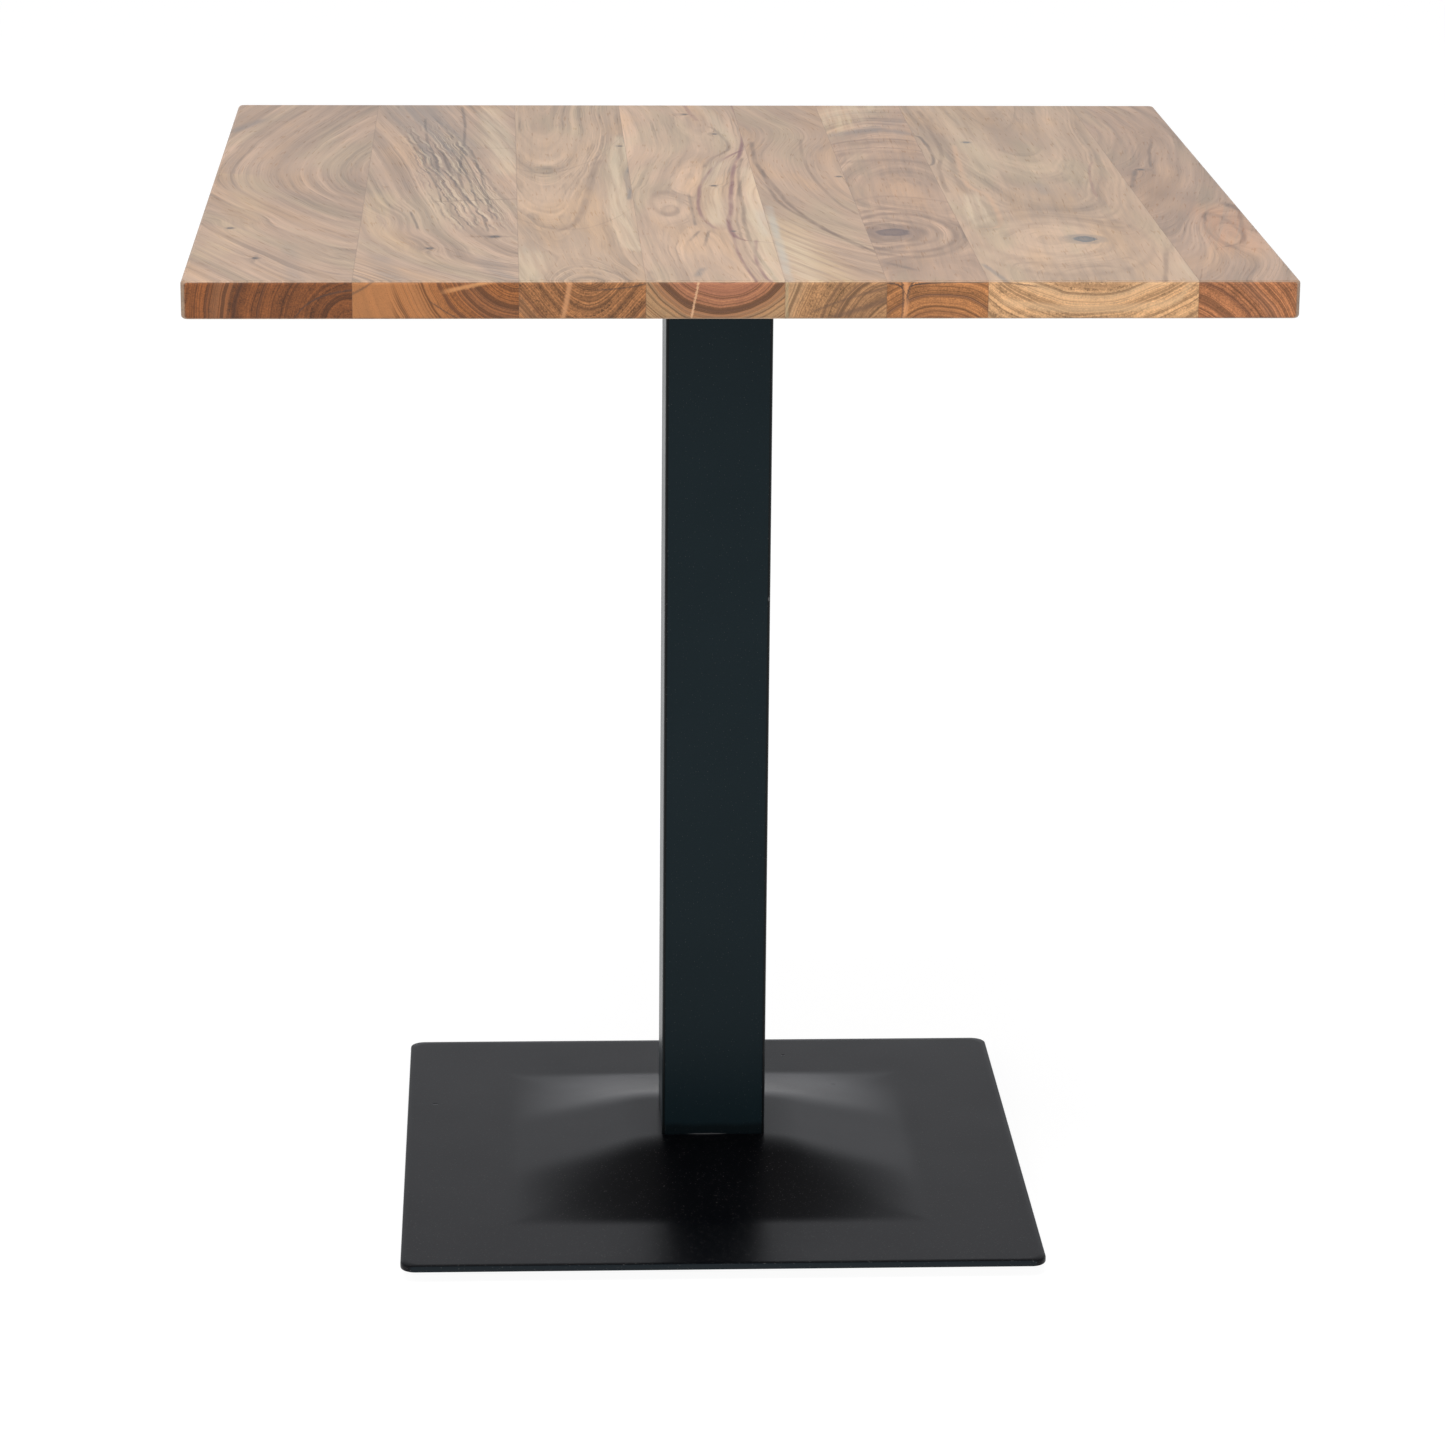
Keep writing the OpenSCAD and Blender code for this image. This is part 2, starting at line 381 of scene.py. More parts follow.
INK = (0.045, 0.03, 0.024)
BLUE = (0.085, 0.09, 0.092)
PURPLE = (0.13, 0.04, 0.042)
UMBER = (0.11, 0.062, 0.036)
CREAM = (0.5, 0.4, 0.265)
STRAW = (0.46, 0.33, 0.175)
PEACH = (0.43, 0.26, 0.15)
CHALK = (0.34, 0.35, 0.31)
RUST = (0.42, 0.19, 0.08)
SOOT = (0.085, 0.058, 0.045)
HEART = (0.05, 0.04, 0.036)

# The tables below list the marks by the stave's number, in mm.
# Single marks on the top: colour, half width, strength, then (y, x) stations
MARKS = {1: [
    (BLUE, 5, 0.9, (246, -371), (290, -354)), (INK, 1.2, 0.5, (-305, -329), (-285, -328)),
    (STRAW, 12, 0.35, (-280, -362), (-60, -345), (40, -362)), (UMBER, 6, 0.4, (-160, -345), (-128, -352)),
    (BLUE, 5, 0.35, (-375, -297), (-320, -303), (-250, -307)),
], 2: [
    (BLUE, 20, 0.8, (170, -203), (230, -210), (290, -222), (350, -228)),
    (BLUE, 11, 0.55, (50, -202), (150, -211)),
    (INK, 0.8, 0.5, (-60, -199), (10, -206), (60, -211), (150, -222), (230, -232)),
    (INK, 0.8, 0.7, (-70, -205), (20, -212), (80, -219), (190, -232)),
    (INK, 1, 0.7, (40, -207), (110, -212), (210, -219), (300, -222)),
    (INK, 1.1, 0.7, (-90, -181), (0, -191), (60, -193), (200, -190), (360, -193)),
    (INK, 0.8, 0.7, (-160, -178), (-90, -186), (20, -196), (90, -203), (140, -206)),
    (INK, 0.8, 0.7, (-190, -171), (-90, -178), (20, -186), (90, -193), (150, -199)),
    (INK, 0.7, 0.7, (-140, -168), (-30, -175), (50, -183), (150, -193)),
    (UMBER, 1.6, 0.6, (-60, -190), (0, -196), (60, -200), (150, -209)),
    (INK, 0.8, 0.8, (-180, -220), (-120, -226)),
    (INK, 0.9, 0.7, (-150, -163), (-60, -171), (60, -178), (150, -184)),
    (CREAM, 8, 0.8, (60, -157), (200, -163), (345, -170)), (BLUE, 7, 0.55, (-372, -233), (-300, -245)),
    (BLUE, 7, 0.5, (-372, -158), (-300, -172)), (STRAW, 9, 0.5, (-300, -205), (-150, -250), (-60, -250)),
], 3: [
    (CREAM, 6, 0.9, (-255, -69), (-130, -76), (30, -76), (130, -70), (205, -66)),
    (BLUE, 1.6, 0.7, (-60, -68), (30, -67), (120, -62), (195, -64)),
    (CREAM, 10, 0.6, (-375, -146), (-330, -143), (-270, -147)),
    (UMBER, 2.4, 0.55, (-185, -118), (-130, -104), (-60, -99), (20, -95), (100, -86)),
    (BLUE, 5, 0.4, (-262, -142), (-238, -142)), (INK, 1.5, 0.5, (-372, -76), (-345, -84)),
], 4: [
    (PURPLE, 1.5, 1, (-231, 15), (-186, 0), (-110, 4), (-4, 10), (72, 15), (155, 24), (261, 30),
     (375, 28)),
    (PURPLE, 1.3, 0.95, (-375, 19), (-307, 13), (-231, 15)),
    (PURPLE, 1.3, 0.9, (-178, -11), (-110, -19), (-49, -17), (34, -8), (95, 4), (148, 23)),
    (PURPLE, 1, 0.7, (-375, 8), (-290, 2), (-210, 1)),
    (INK, 1, 0.7, (-165, -24), (-100, -24), (-45, -25)),
    (UMBER, 1.4, 0.8, (80, -7), (115, 0), (140, 9), (165, 15), (215, 13), (260, 6)),
    (PURPLE, 1.6, 0.6, (300, -5), (375, -12)),
    (UMBER, 1.3, 0.85, (-375, 22), (-300, 16), (-190, 11), (-100, 13), (30, 17), (110, 23)),
    (UMBER, 0.9, 0.6, (-330, 13), (-190, 6), (-100, 9), (30, 20)),
    (CREAM, 6, 0.75, (-155, -8), (-60, -7), (30, -3), (90, 4)),
    (CREAM, 6, 0.85, (-375, 26), (-200, 19), (-60, 24), (60, 27)),
    (CREAM, 5, 0.5, (200, 17), (300, 10), (375, 3)), (BLUE, 2.4, 0.6, (-352, -29), (-335, -26)),
    (INK, 1.6, 0.5, (-368, -60), (-345, -61)), (INK, 1, 0.6, (-245, -21), (-195, -16)),
    (INK, 1, 0.6, (-225, -29), (-195, -23)), (CHALK, 5, 0.5, (-200, 27), (-120, 26)),
], 5: [
    (UMBER, 1.6, 0.9, (-269, 96), (-231, 83), (-170, 64), (-95, 49), (-4, 40), (72, 34), (186, 34)),
    (UMBER, 1.3, 0.8, (-255, 88), (-200, 71), (-150, 57), (-95, 44), (-30, 37), (60, 36)),
    (UMBER, 1.2, 0.5, (-120, 93), (-30, 78), (100, 70), (200, 74)),
    (STRAW, 13, 0.85, (-375, 62), (-260, 46), (-150, 36)), (CREAM, 9, 0.7, (-375, 44), (-240, 40)),
    (CHALK, 2.6, 0.6, (-375, 31), (-100, 32)), (PEACH, 5, 0.5, (-60, 92), (20, 88), (140, 84)),
], 6: [
    (CREAM, 19, 0.9, (285, 104), (330, 112), (375, 134)),
    (BLUE, 9, 0.45, (205, 104), (250, 130), (285, 150)), (STRAW, 9, 0.6, (220, 98), (300, 116)),
    (PEACH, 20, 0.45, (-90, 126), (-10, 126)), (UMBER, 12, 0.5, (-340, 112), (-315, 108)),
    (INK, 3, 0.6, (-328, 112), (-318, 106)),
], 7: [
    (INK, 1.2, 0.8, (85, 166), (120, 170), (170, 171), (220, 167)),
    (UMBER, 1.6, 0.6, (-30, 168), (60, 170), (180, 180), (340, 178)),
    (UMBER, 2.6, 0.45, (-40, 182), (40, 181), (160, 186), (300, 183)),
    (PEACH, 1.8, 0.8, (-180, 186), (-60, 197), (0, 186), (100, 188), (170, 191)),
    (CREAM, 8, 0.8, (-150, 180), (-60, 184)), (CREAM, 6, 0.6, (-375, 303), (-320, 301)),
    (CREAM, 12, 0.35, (60, 212), (190, 208), (340, 202)),
    (PURPLE, 1, 0.5, (-50, 276), (50, 283), (95, 291)),
    (PEACH, 12, 0.4, (-300, 288), (-100, 290), (80, 296)), (BLUE, 1.6, 0.6, (-375, 176), (-320, 167)),
    (UMBER, 1.6, 0.6, (-375, 283), (-310, 292), (-260, 300)), (BLUE, 5, 0.5, (-35, 240), (-5, 238)),
    (UMBER, 7, 0.4, (110, 244), (200, 238), (300, 232)),
], 8: [
    (INK, 1.3, 0.8, (80, 334), (140, 341), (205, 350)),
    (INK, 1.6, 0.8, (-248, 346), (-225, 358), (-150, 368), (-110, 373)),
    (INK, 1.4, 0.9, (-150, 343), (-120, 347), (-98, 357)), (INK, 4, 0.8, (-103, 373), (-88, 369)),
    (UMBER, 14, 0.55, (-40, 330), (40, 324)), (UMBER, 12, 0.4, (-120, 314), (-40, 316)),
    (UMBER, 9, 0.4, (200, 352), (245, 358)), (PEACH, 22, 0.35, (120, 332), (375, 334)),
    (RUST, 15, 0.8, (-240, 352), (-120, 356)), (INK, 1.6, 0.7, (-8, 308), (60, 319)),
]}
# The stave with fine lines like combed hair, and its splits: half width, strength, (x, y) stations
COMBED = 2
SPLITS = [
    (1.4, 0.3, (-226, 156), (-190, 162), (-150, 160)),
    (2, 0.3, (-222, 48), (-206, 54), (-188, 48), (-168, 56)),
    (1.8, 0.6, (-206, -74), (-180, -68), (-152, -63)),
    (2.4, 0.5, (-178, -212), (-158, -213)),
]

# Arches across a stave: colour, half width, strength, (x, y) of the arch's top, and how far it has
# dropped at ARCH_REACH to either side
ARCH_REACH = 40
ARCHES = {3: [
    (UMBER, 2.2, 0.28, (-115, -186), -60), (UMBER, 1.8, 0.35, (-129, 49), -70),
], 6: [
    (UMBER, 5, 0.5, (134, 282), 34), (BLUE, 9, 0.5, (134, 246), 30),
    (UMBER, 3, 0.75, (136, 205), 27), (UMBER, 8, 0.5, (134, 190), 27),
    (UMBER, 2.2, 0.6, (132, 163), 25), (UMBER, 7, 0.45, (131, 146), 24),
    (UMBER, 5, 0.35, (130, 108), 22), (UMBER, 3, 0.35, (127, -52), 30),
]}
# Loops round the knots: colour, half width, strength, centre, the loop's half width and half length
LOOPS = {4: [
    (UMBER, 1.8, 0.45, (-42, -80), 10, 45),
], 6: [
    (UMBER, 4, 0.65, (116, -199), 19, 30), (UMBER, 2.4, 0.45, (118, -199), 28, 48),
    (UMBER, 2.4, 0.7, (121, -197), 37, 74), (UMBER, 1.8, 0.5, (122, -196), 43, 94),
], 7: [
    (BLUE, 3, 0.3, (246, -223), 15, 16), (UMBER, 3.5, 0.26, (231, -222), 36, 62),
    (UMBER, 5, 0.28, (228, -226), 54, 96), (UMBER, 3, 0.25, (226, -230), 66, 124),
], 8: [
    (INK, 1.6, 0.45, (350, -188), 11, 62),
]}

# Marks that run up the end grain: colour, half width, strength, then (z, x) stations
END_MARKS = {3: [
    ((0.6, 0.29, 0.13), 1.5, 0.65, (-26, -121), (-12, -118), (0, -116)),
], 4: [
    ((0.62, 0.36, 0.2), 0.6, 0.9, (-26, -35), (0, -30)),
], 5: [
    ((0.4, 0.34, 0.2), 1, 0.4, (-26, 29), (0, 29)),
], 6: [
    ((0.6, 0.27, 0.11), 1.5, 0.85, (-26, 107), (-8, 109), (0, 108)),
    (INK, 0.7, 0.8, (-10, 110), (-3, 112), (0, 116)), (INK, 0.6, 0.6, (-26, 106), (-10, 107), (0, 104)),
]}
# Lines that run across the end grain, through (x, z) stations
END_LINES = {1: [
    (INK, 0.6, 0.6, (-300, -26), (-285, -12), (-262, -6)),
], 2: [
    (UMBER, 0.8, 0.6, (-262, -9), (-254, -5), (-247, 0)),
    ((0.62, 0.29, 0.11), 1.2, 0.7, (-195, -6), (-172, -1)),
    (INK, 0.5, 0.6, (-206, -16), (-200, -20), (-190, -26)),
], 3: [
    (INK, 0.5, 0.6, (-95, -6), (-70, -3), (-62, 0)),
], 5: [
    ((0.15, 0.08, 0.045), 1.6, 0.7, (62, -24), (78, -19), (97, -12)),
    ((0.15, 0.08, 0.045), 0.8, 0.6, (48, -20), (70, -12), (97, -4)),
], 6: [
    (INK, 0.5, 0.85, (97, -1.5), (103, -2.5), (107, -6)),
    (INK, 0.5, 0.85, (112, -5), (118, -2), (160, -0.8)),
], 7: [
    (INK, 0.5, 0.6, (172, -0.5), (195, -3.5)),
    ((0.66, 0.43, 0.24), 2.4, 0.5, (180, -15), (240, -19), (296, -8)),
]}
# Bands that follow the rings on the end grain: colour, half width, strength, ring radius
END_BANDS = {1: [
    ((0.07, 0.026, 0.012), 1.6, 0.7, 78), ((0.08, 0.03, 0.014), 1.2, 0.6, 62),
    ((0.075, 0.028, 0.013), 1.3, 0.6, 96), ((0.28, 0.125, 0.055), 6, 0.5, 88),
], 2: [
    ((0.45, 0.19, 0.066), 34, 0.75, 98), ((0.1, 0.038, 0.018), 1.6, 0.8, 60),
    ((0.17, 0.07, 0.032), 9, 0.6, 44),
], 3: [
    ((0.14, 0.055, 0.026), 1.5, 0.6, 78), ((0.42, 0.21, 0.1), 5, 0.5, 86),
], 4: [
    ((0.4, 0.155, 0.088), 40, 0.75, 8), ((0.115, 0.052, 0.028), 2.2, 0.9, 48.5),
    ((0.24, 0.125, 0.066), 3, 0.7, 53), ((0.38, 0.27, 0.145), 14, 0.55, 68),
], 5: [
    ((0.47, 0.3, 0.165), 16, 0.6, 88), ((0.14, 0.07, 0.036), 2.2, 0.7, 44),
    ((0.17, 0.085, 0.044), 1.6, 0.6, 54), ((0.24, 0.12, 0.06), 12, 0.4, 32),
], 6: [
    ((0.09, 0.045, 0.032), 0.9, 0.8, 56.5), ((0.26, 0.105, 0.045), 3, 0.4, 44),
], 7: [
    ((0.4, 0.22, 0.105), 1.2, 0.6, 90), ((0.66, 0.43, 0.24), 4, 0.5, 98),
], 8: [
    ((0.17, 0.065, 0.032), 1.2, 0.6, 52), ((0.46, 0.21, 0.11), 4, 0.4, 66),
]}


def tinted(colour, share):
    return tuple(c * share for c in colour)


class Stave(Shading):
    """The wood of one stave: rings round a wandering pith, cut by the stave's own faces. Its
    coordinates are in mm from the middle of the top surface."""

    def __init__(self, index):
        super().__init__(f"acacia_{index}")
        self.index = index
        self.sawn = WOOD[index]
        self.seed = self.sawn["seed"]
        low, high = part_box(f"top_stave_{index}")
        self.left, self.right = low.x / MM, high.x / MM
        self.x, self.y, self.z = self.x / MM, self.y / MM, (self.z - TOP_Z) / MM
        self.upper = self.z.ease(-16, -7)
        self.grow()
        self.draw_grain()

    def cells(self, across, width, length, shift, **kind):
        """Noise in cells of that width and length in mm, the length along the stave."""
        return self.noise(across / width, self.y / length, self.z / width, seed=self.seed + shift, **kind)

    def own(self, rows):
        """This stave's rows in a table of marks."""
        return rows.get(self.index, [])

    def mark(self, along_at, across_at, half, stations):
        """How strongly a mark shows: 1 on its line, fading at its sides and its ends."""
        off = (across_at - self.along(along_at, stations)).size()
        soft_end = 6 + 3.5 * half
        first, last = stations[0][0], stations[-1][0]
        start = along_at.ease(first - soft_end, first + 2)
        end = along_at.fade(last - 2, last + soft_end)
        return off.fade(half * 0.3, half * 1.9) * start * end

    # The tree

    def grow(self):
        """Finds each point's distance from the pith, bent round the knots, and how the fibres flow."""
        pith = self.sawn["pith"]
        swing = (self.cells(self.x, 150, 360, 0, detail=1) - 0.5) * 20
        self.wave = (self.cells(self.x, 34, 110, 80) - 0.5) * 6
        pith_x = self.along(self.y, [(y, x) for y, x, _ in pith])
        pith_z = self.along(self.y, [(y, z) for y, _, z in pith])
        self.lean = self.along(self.y, self.sawn.get("lean", [(0, 0)]))
        across, depth = self.x - pith_x + swing * 0.3, self.z - pith_z
        self.radius = (across * across + depth * depth).root() + self.lean + swing + self.wave
        self.core = self.constant(0.0)
        for x, y, half_w, half_l, bulge, dark in self.sawn["knots"]:
            out_x, out_y = (self.x - x) / half_w, (self.y - y) / half_l
            self.radius = self.radius + (-(out_x * out_x + out_y * out_y)).exp() * bulge
            if dark:
                self.core = self.core.at_least(self.knot_core(x, y, dark))
        side = 1 if pith[0][1] > (self.left + self.right) / 2 else -1
        self.flow = self.x - pith_x - self.lean * side + self.wave * 0.6

    def knot_core(self, x, y, size):
        """The dark core of a knot: ragged, a little paler in its middle, with a faint halo."""
        out_x, out_y = (self.x - x) / size, (self.y - y) / (size * 1.3)
        ragged = self.noise(out_x * 1.3, out_y * 1.3, self.z / 9, detail=3, roughness=0.65, seed=x) - 0.5
        out = (out_x * out_x + out_y * out_y).root() + ragged * 0.9
        dark = out.fade(0.6, 1.05) * out.ease(0.0, 0.7, 0.78, 1.0)
        halo = out.ease(0.9, 1.7, 0.38, 0.0)
        return dark.at_least(halo)

    def ring_lines(self, per_ring, shift, half, detail=2):
        """1 on thin lines that follow the rings, where a noise across them passes its middle."""
        off = (self.stripes(self.rings * per_ring + self.seed * shift, detail=detail) - 0.5).size()
        return off.fade(0.0, half)

    def draw_grain(self):
        """Makes one shade, about 0, from the rings, the streaks, the clouds and the fibres."""
        strength = self.sawn["figure"]
        self.rings = self.radius / self.sawn["ring"]
        broad = self.stripes(self.rings * 0.3 + self.seed, detail=1) - 0.5
        band = self.stripes(self.rings + self.seed * 3, roughness=0.55) - 0.5
        self.fine = self.stripes(self.rings * 4.2 + self.seed * 5, roughness=0.7) - 0.5
        self.line = self.ring_lines(0.8, 7, 0.03, detail=1)
        self.fibre = self.cells(self.flow, 1.111, 45.45, 0, detail=3, roughness=0.6) - 0.5
        self.streak = self.cells(self.flow, 5.882, 222.2, 9, detail=3, roughness=0.6) - 0.5
        self.pore = self.cells(self.flow, 1.613, 25, 31, detail=0).ease(0.7, 0.76)
        cloud = self.cells(self.x, 90, 200, 17) - 0.5
        self.figure = self.cells(self.x, 42, 150, 55, detail=1).ease(0.34, 0.62, 0.25, 1.15) * strength
        self.worn = self.cells(self.flow, 9, 55, 66, roughness=0.6).ease(0.32, 0.62, 0.25, 1.25)
        ringed = (band * 0.68 + self.fine * self.worn * 0.42) * self.figure + broad * (0.55 * strength)
        self.shade = ringed + self.streak * 0.5 + cloud * 0.45 + self.fibre * 0.38

    # The long grain

    def face_colour(self):
        face = self.sawn["face"]
        stops = [(0.0, tinted(face, 0.36)), (0.5, face), (1.0, tinted(face, 1.66))]
        colour = self.ramp(self.shade + 0.5, stops)
        lines = self.line * self.worn * self.streak.ease(-0.12, 0.1) * self.figure
        colour = self.layers(colour, (lines * 0.48, tinted(face, 0.38)), (self.pore * 0.12, UMBER))
        hue = self.cells(self.flow, 42, 230, 71, roughness=0.6)
        colour = self.mix(hue.ease(0.5, 0.68), colour, (0.95, 1.01, 0.98), "MULTIPLY")
        colour = self.mix(hue.fade(0.32, 0.5), colour, (1.05, 1.00, 0.9), "MULTIPLY")
        colour = self.layers(colour, *self.face_marks())
        if self.index == COMBED:
            colour = self.layers(colour, *self.comb())
        return self.mix(self.core * 0.95, colour, self.sawn.get("heart", HEART))

    def face_marks(self):
        """Wide marks fade in and out with the streaks, and thin ones break up."""
        broken = self.cells(self.x, 16, 60, 91).ease(0.34, 0.56, 0.45, 1.0)
        for tint, half, strength, *stations in self.own(MARKS):
            across = self.x + self.wave * 0.8 + self.fibre * min(half, 8)
            share = self.mark(self.y, across, half, stations) * self.upper
            if half > 4:
                yield share * self.streak.ease(-0.14, 0.1, 0.25, 1.0) * (strength * 0.62), tint
            else:
                yield share * broken * (strength * 0.8), tint
        for tint, half, strength, (x, y), drop in self.own(ARCHES):
            bow = (self.x - x) / ARCH_REACH
            off = (self.y - y + bow * bow * drop + self.wave * 2.5).size()
            yield off.fade(half * 0.1, half * 2.0) * broken * self.upper * (strength * 0.75), tint
        for tint, half, strength, (x, y), half_w, half_l in self.own(LOOPS):
            out_x, out_y = (self.x - x + self.wave * 1.2) / half_w, (self.y - y) / half_l
            off = (((out_x * out_x + out_y * out_y).root() - 1) * half_w).size()
            yield off.fade(half * 0.1, half * 1.8) * broken * self.upper * (strength * 0.75), tint

    def comb(self):
        """Fine pale and dark lines in a lane down the stave, and the splits across them."""
        wander = self.noise(self.x / 50, self.y / 48, 0.0, detail=3, roughness=0.6, seed=41) - 0.5
        teeth = self.stripes((self.x + self.y * 0.15 + wander * 11) * 0.36 + 3.0, roughness=0.55)
        patchy = self.noise(self.x / 12, self.y / 45, 0.0, roughness=0.6, seed=43).ease(0.34, 0.56)
        lane = self.x + self.y * 0.1
        inside = lane.ease(-226, -208) * lane.fade(-178, -160)
        shown = patchy * inside * self.y.ease(-200, -160) * self.y.fade(150, 340) * self.upper
        yield teeth.ease(0.53, 0.62) * shown * 0.45, CREAM
        yield teeth.fade(0.38, 0.48) * shown * 0.75, SOOT
        for half, strength, *stations in SPLITS:
            share = self.mark(self.x, self.y + self.wave * 1.2, half, stations)
            yield share * self.upper * (strength * 0.6), UMBER

    # The end grain

    def end_colour(self):
        end = self.sawn["end"]
        stops = [(0.0, tinted(end, 0.22)), (0.5, end), (1.0, tinted(end, 1.75))]
        return self.layers(self.ramp(self.shade * 1.5 + self.fibre * 0.8 + 0.5, stops), *self.end_marks(end))

    def end_marks(self, end):
        """Bands and fine lines along the rings, torn fibres, marks and a dark top edge."""
        for tint, half, strength, at in self.own(END_BANDS):
            yield (self.radius - self.lean - at).size().fade(half * 0.5, half * 1.4) * strength, tint
        calm_to = self.sawn.get("calm_to", -2 * HALF_TOP)
        lively = self.x.ease(calm_to, calm_to + 10)
        yield self.ring_lines(1.7, 13, 0.03) * lively * 0.4, tinted(end, 1.9)
        yield self.ring_lines(2.1, 11, 0.035) * lively * 0.6, tinted(end, 0.3)
        yield self.line * lively * 0.6, tinted(end, 0.25)
        speckle = self.noise(self.x * 1.1, self.z * 1.6, 0.0, detail=3, roughness=0.75, seed=self.seed + 44)
        torn = self.fine * 0.5 + speckle - 0.5
        yield torn.ease(0.02, 0.3) * 0.5, tinted(end, 0.42)
        yield torn.fade(-0.3, -0.04) * 0.35, tinted(end, 1.7)
        for tint, half, strength, *stations in self.own(END_MARKS):
            yield self.mark(self.z, self.x + self.fibre * 3, half, stations) * strength, tint
        for tint, half, strength, *stations in self.own(END_LINES):
            yield self.mark(self.x, self.z + self.fibre * 2, half, stations) * strength, tint
        yield self.z.ease(-1.8, -0.5, 0.0, 0.5), tinted(end, 0.25)

    def lacquered(self):
        """The finished material: satin on the top, and duller on the sawn edges."""
        on_end = self.y.size().ease(HALF_TOP - 1.0, HALF_TOP - 0.2)
        glue = (self.x - self.left).at_most(-self.x + self.right).fade(0.1, 0.45)
        colour = self.layers(self.face_colour(), (on_end, self.end_colour()), (glue * 0.3, UMBER))
        self.shader.inputs["IOR"].default_value = 1.48
        on_edge = self.y.size().at_least(self.x.size()).ease(HALF_TOP - 1.5, HALF_TOP - 0.5)
        roughness = (self.fibre * 0.12 + self.pore * 0.1 + 0.42).at_least(on_edge * 0.75)
        height = -self.pore * 0.5 + self.fibre * 0.3 - glue * 0.6
        return self.finish(colour, roughness, height, 0.0001)


# --- Metals and plastic

BLACK = (0.0, 0.0, 0.0)
# Bare metal for the chips, and also the colour of the painted highlight at the column's foot
BARE_METAL_AND_HIGHLIGHT = (0.42, 0.42, 0.42)
DUST = (0.12, 0.12, 0.12)
# Painted reflection: the lighter, bluer colour laid round the base plate's edge in place of the floor it
# reflects
PAINTED_EDGE_REFLECTION = (0.0075, 0.012, 0.0155)

# Pits in the base plate's coat, and chips on the column's front right edge: x, y, z and half
# length in mm
PITS = [(-218, 95, 13.5, 2.2), (69, 201, 13.5, 1.6), (105, 121, 22, 1.8)]
CHIPS = [(40, -40, 492, 2.4), (40, -40, 483, 1.6), (40, -40, 469, 3.4)]


def spot(s, at, half, stretch):
    """1 in a small oval round a place in mm, stretched along X, Y and Z."""
    x, y, z = ((c / MM - p) / (half * k) for c, p, k in zip((s.x, s.y, s.z), at, stretch))
    return (x * x + y * y + z * z).root().fade(0.6, 1.1)


def base_pits_and_painted_edge_reflection(s, colour, height):
    """A lighter, bluer band painted round the plate's edge, a painted reflection of the floor, and a few
    pits.
    """
    edge = node_right("base_plate")
    out = (s.x.size() / MM).at_least(s.y.size() / MM)
    # Painted reflection of the floor on the plate's edge
    colour = s.mix(out.ease(edge - 1.0, edge - 0.2), colour, PAINTED_EDGE_REFLECTION)
    for *at, half in PITS:
        height = height - spot(s, at, half, (1, 0.8, 8)) * 9
    return colour, height


def column_chips_and_painted_light(s, colour, height):
    """Painted shade on the corners and in a band at the foot, a painted highlight at the foot, and a few
    chips.
    """
    half, foot = node_right("column_tube"), node_floor("column_tube")
    # Painted shade: darker towards the foot, where the column meets the base, with an uneven top
    uneven = (s.noise(s.x * 40, s.y * 40, 0.0, detail=1, seed=2) - 0.5) * 5
    band = (s.z / MM + uneven).ease(foot + 6, foot + 11, 0.6, 0.0)
    # Painted shade: the tube's rounded corners darkened
    corner = (s.x.size() / MM).at_most(s.y.size() / MM).ease(half - 2.8, half - 1.6)
    # Painted highlight: a thin light line across the front of the column's foot
    painted_foot_highlight = spot(s, (-5, -half, foot + 0.5), 16, (1, 0.1, 0.03))
    chips = [(spot(s, at, size, (0.6, 0.6, 1)) * 0.5, BARE_METAL_AND_HIGHLIGHT) for *at, size in CHIPS]
    # Lays on the painted shade, the painted highlight and the chips
    colour = s.layers(colour, (band, BLACK), (corner * 0.85, BLACK), (painted_foot_highlight * 0.22, BARE_METAL_AND_HIGHLIGHT), *chips)
    return colour, height


def powder_coat(name, dark, light, ior, details, dusty):
    """Satin black powder coat: a fine orange peel with pale specks of dust."""
    s = Shading(name)
    peel = s.even_noise(900)
    patch = s.even_noise(14, detail=3, seed=5)
    dust = s.even_noise(1000, detail=0, seed=11).ease(0.765, 0.8)
    shade = (patch - 0.5) * 0.6 + (peel - 0.5) * 0.4 + 0.5
    colour, height = details(s, s.ramp(shade, [(0.25, dark), (0.75, light)]), peel)
    colour = s.mix(dust * dusty, colour, DUST)
    s.shader.inputs["IOR"].default_value = ior
    roughness = (patch - 0.5) * 0.08 + dust * 0.25 + 0.32
    return s.finish(colour, roughness, height, 0.00004)


def steel(name, colour, rough):
    s = Shading(name)
    grain = s.even_noise(700, detail=3, roughness=0.6)
    patch = s.even_noise(40, seed=3)
    tint = s.ramp(patch, [(0.3, tinted(colour, 0.82)), (0.75, colour)])
    s.shader.inputs["Metallic"].default_value = 1.0
    return s.finish(tint, (grain - 0.5) * 0.2 + rough, grain, 0.00003)


def nylon(name, dark, light):
    s = Shading(name)
    grain = s.even_noise(1500)
    tint = s.ramp(grain, [(0.2, dark), (0.8, light)])
    return s.finish(tint, (grain - 0.5) * 0.2 + 0.55, grain, 0.00005)


def node_floor(node):
    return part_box(node)[0].z / MM


def node_top(node):
    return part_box(node)[1].z / MM


def node_right(node):
    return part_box(node)[1].x / MM


make_camera()
make_studio()

